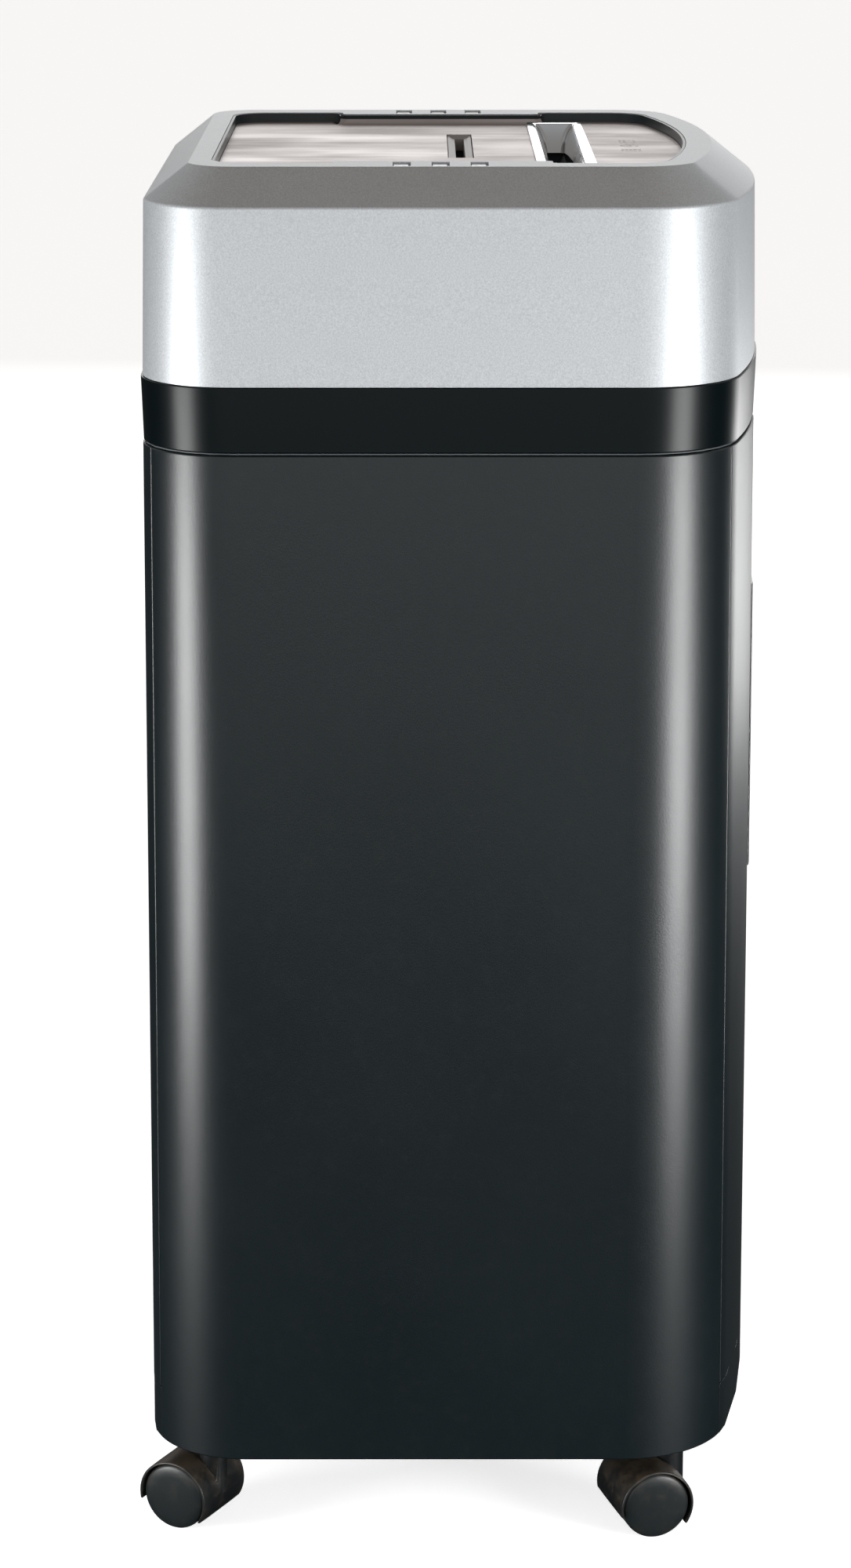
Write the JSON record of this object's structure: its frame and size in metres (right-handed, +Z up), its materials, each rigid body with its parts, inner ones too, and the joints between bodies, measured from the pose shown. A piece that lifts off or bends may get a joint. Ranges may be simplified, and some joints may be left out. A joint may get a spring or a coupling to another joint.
{
  "type": "paper shredder",
  "caption": "Tall deskside paper shredder: metallic head with a recessed panel, chromed feed throat and disc slot, black cabinet with a bowed pull-out bin, on hooded twin-wheel casters.",
  "frame": {"origin": "bottom centre of the whole object, on the floor under the wheels", "axes": "+Z up, -Y towards the bowed bin front, +X to the right seen from behind the bin looking to the rear"},
  "size_m": [0.3932, 0.3628, 0.795],
  "materials": {
    "silver_paint": "silver metallic paint, satin",
    "black_satin": "blue-black moulded plastic, fine spark-eroded grain, satin",
    "dark_trim": "smooth dark moulded trim",
    "brushed_panel": "brushed along the depth of the machine",
    "chrome": "bright plating",
    "tinted_window": "smoke-tinted clear plastic",
    "lens": "domed, semi-gloss",
    "grey_plastic": "moulded, matt",
    "cutter_steel": "ground and oiled steel",
    "zinc_steel": "zinc-plated steel",
    "motor_iron": "painted motor can",
    "gear_nylon": "natural nylon",
    "board": "circuit board",
    "caster_nylon": "black nylon, dusty"
  },
  "bodies": {
    "frame": {"head_housing": "silver_paint", "panel_surround": "dark_trim", "top_panel": "brushed_panel", "feed_throat": "chrome", "disc_slot_bezel": "dark_trim", "rim_cap_left_1": "lens", "rim_cap_left_2": "lens", "rim_cap_left_3": "lens", "rim_cap_right_1": "lens", "rim_cap_right_2": "lens", "rim_cap_right_3": "lens", "collar_frame": "black_satin", "mechanism_deck": "grey_plastic", "base_pan": "black_satin", "rear_panel": "black_satin", "power_inlet": "dark_trim", "side_panel_left": "black_satin", "side_panel_right": "black_satin", "stripper_comb_front": "zinc_steel", "stripper_comb_rear": "zinc_steel", "side_plate_left": "zinc_steel", "side_plate_right": "zinc_steel", "tie_bar_front": "zinc_steel", "tie_bar_rear": "zinc_steel", "paper_chute": "grey_plastic", "disc_chute": "grey_plastic", "gear_stud": "zinc_steel", "motor_body": "motor_iron", "control_board": "board"},
    "bin": {"bin_front": "black_satin", "bin_window": "tinted_window", "bin_grip": "dark_trim", "waste_bin": "grey_plastic"},
    "drum_front": {"cutter_drum_front": "cutter_steel", "sync_gear_front": "cutter_steel"},
    "drum_rear": {"cutter_drum_rear": "cutter_steel", "sync_gear_rear": "cutter_steel"},
    "reduction": {"reduction_gear": "gear_nylon"},
    "motor_rotor": {"motor_pinion": "cutter_steel"},
    "rocker": {"rocker_switch": "dark_trim"},
    "caster_left_rear": {"caster_stem_left_rear": "zinc_steel", "caster_hood_left_rear": "caster_nylon", "caster_axle_left_rear": "zinc_steel"},
    "wheel_left_rear_a": {"caster_wheel_left_rear_a": "caster_nylon"},
    "wheel_left_rear_b": {"caster_wheel_left_rear_b": "caster_nylon"},
    "caster_left_front": {"caster_stem_left_front": "zinc_steel", "caster_hood_left_front": "caster_nylon", "caster_axle_left_front": "zinc_steel"},
    "wheel_left_front_a": {"caster_wheel_left_front_a": "caster_nylon"},
    "wheel_left_front_b": {"caster_wheel_left_front_b": "caster_nylon"},
    "caster_right_rear": {"caster_stem_right_rear": "zinc_steel", "caster_hood_right_rear": "caster_nylon", "caster_axle_right_rear": "zinc_steel"},
    "wheel_right_rear_a": {"caster_wheel_right_rear_a": "caster_nylon"},
    "wheel_right_rear_b": {"caster_wheel_right_rear_b": "caster_nylon"},
    "caster_right_front": {"caster_stem_right_front": "zinc_steel", "caster_hood_right_front": "caster_nylon", "caster_axle_right_front": "zinc_steel"},
    "wheel_right_front_a": {"caster_wheel_right_front_a": "caster_nylon"},
    "wheel_right_front_b": {"caster_wheel_right_front_b": "caster_nylon"}
  },
  "joints": [
    {"name": "bin_slide", "type": "slide", "parent": "frame", "child": "bin", "axis": [0, -1, 0], "range_m": [0, 0.27]},
    {"name": "swivel_left_rear", "type": "hinge", "parent": "frame", "child": "caster_left_rear", "pos_m": [-0.15, 0.13748, 0.05], "axis": [0, 0, 1], "continuous": true},
    {"name": "swivel_left_front", "type": "hinge", "parent": "frame", "child": "caster_left_front", "pos_m": [-0.15, -0.13052, 0.05], "axis": [0, 0, 1], "continuous": true},
    {"name": "swivel_right_rear", "type": "hinge", "parent": "frame", "child": "caster_right_rear", "pos_m": [0.15, 0.13748, 0.05], "axis": [0, 0, 1], "continuous": true},
    {"name": "swivel_right_front", "type": "hinge", "parent": "frame", "child": "caster_right_front", "pos_m": [0.15, -0.13052, 0.05], "axis": [0, 0, 1], "continuous": true},
    {"name": "roll_left_rear_a", "type": "hinge", "parent": "caster_left_rear", "child": "wheel_left_rear_a", "pos_m": [-0.14296, 0.15072, 0.02], "axis": [0.8829, -0.4695, 0], "continuous": true},
    {"name": "roll_left_rear_b", "type": "hinge", "parent": "caster_left_rear", "child": "wheel_left_rear_b", "pos_m": [-0.14296, 0.15072, 0.02], "axis": [0.8829, -0.4695, 0], "continuous": true},
    {"name": "roll_left_front_a", "type": "hinge", "parent": "caster_left_front", "child": "wheel_left_front_a", "pos_m": [-0.15413, -0.1161, 0.02], "axis": [0.9613, 0.2756, 0], "continuous": true},
    {"name": "roll_left_front_b", "type": "hinge", "parent": "caster_left_front", "child": "wheel_left_front_b", "pos_m": [-0.15413, -0.1161, 0.02], "axis": [0.9613, 0.2756, 0], "continuous": true},
    {"name": "roll_right_rear_a", "type": "hinge", "parent": "caster_right_rear", "child": "wheel_right_rear_a", "pos_m": [0.1414, 0.14977, 0.02], "axis": [0.8192, 0.5736, 0], "continuous": true},
    {"name": "roll_right_rear_b", "type": "hinge", "parent": "caster_right_rear", "child": "wheel_right_rear_b", "pos_m": [0.1414, 0.14977, 0.02], "axis": [0.8192, 0.5736, 0], "continuous": true},
    {"name": "roll_right_front_a", "type": "hinge", "parent": "caster_right_front", "child": "wheel_right_front_a", "pos_m": [0.15513, -0.11643, 0.02], "axis": [0.9397, -0.342, 0], "continuous": true},
    {"name": "roll_right_front_b", "type": "hinge", "parent": "caster_right_front", "child": "wheel_right_front_b", "pos_m": [0.15513, -0.11643, 0.02], "axis": [0.9397, -0.342, 0], "continuous": true},
    {"name": "drum_front_spin", "type": "hinge", "parent": "frame", "child": "drum_front", "pos_m": [0, -0.05292, 0.712], "axis": [1, 0, 0], "continuous": true},
    {"name": "drum_rear_spin", "type": "hinge", "parent": "frame", "child": "drum_rear", "pos_m": [0, -0.01892, 0.712], "axis": [1, 0, 0], "continuous": true},
    {"name": "reduction_spin", "type": "hinge", "parent": "frame", "child": "reduction", "pos_m": [0.1234, 0.01008, 0.712], "axis": [1, 0, 0], "continuous": true},
    {"name": "motor_spin", "type": "hinge", "parent": "frame", "child": "motor_rotor", "pos_m": [0, 0.04758, 0.712], "axis": [1, 0, 0], "continuous": true},
    {"name": "rocker_tilt", "type": "hinge", "parent": "frame", "child": "rocker", "pos_m": [-0.014, 0.16561, 0.609], "axis": [-1, 0, 0], "range_deg": [0, 16]}
  ],
  "couplings": [
    {"joint": "drum_rear_spin", "follows": "drum_front_spin", "ratio": -1},
    {"joint": "reduction_spin", "follows": "drum_front_spin", "ratio": 1.4167},
    {"joint": "motor_spin", "follows": "drum_front_spin", "ratio": -5.6667}
  ]
}
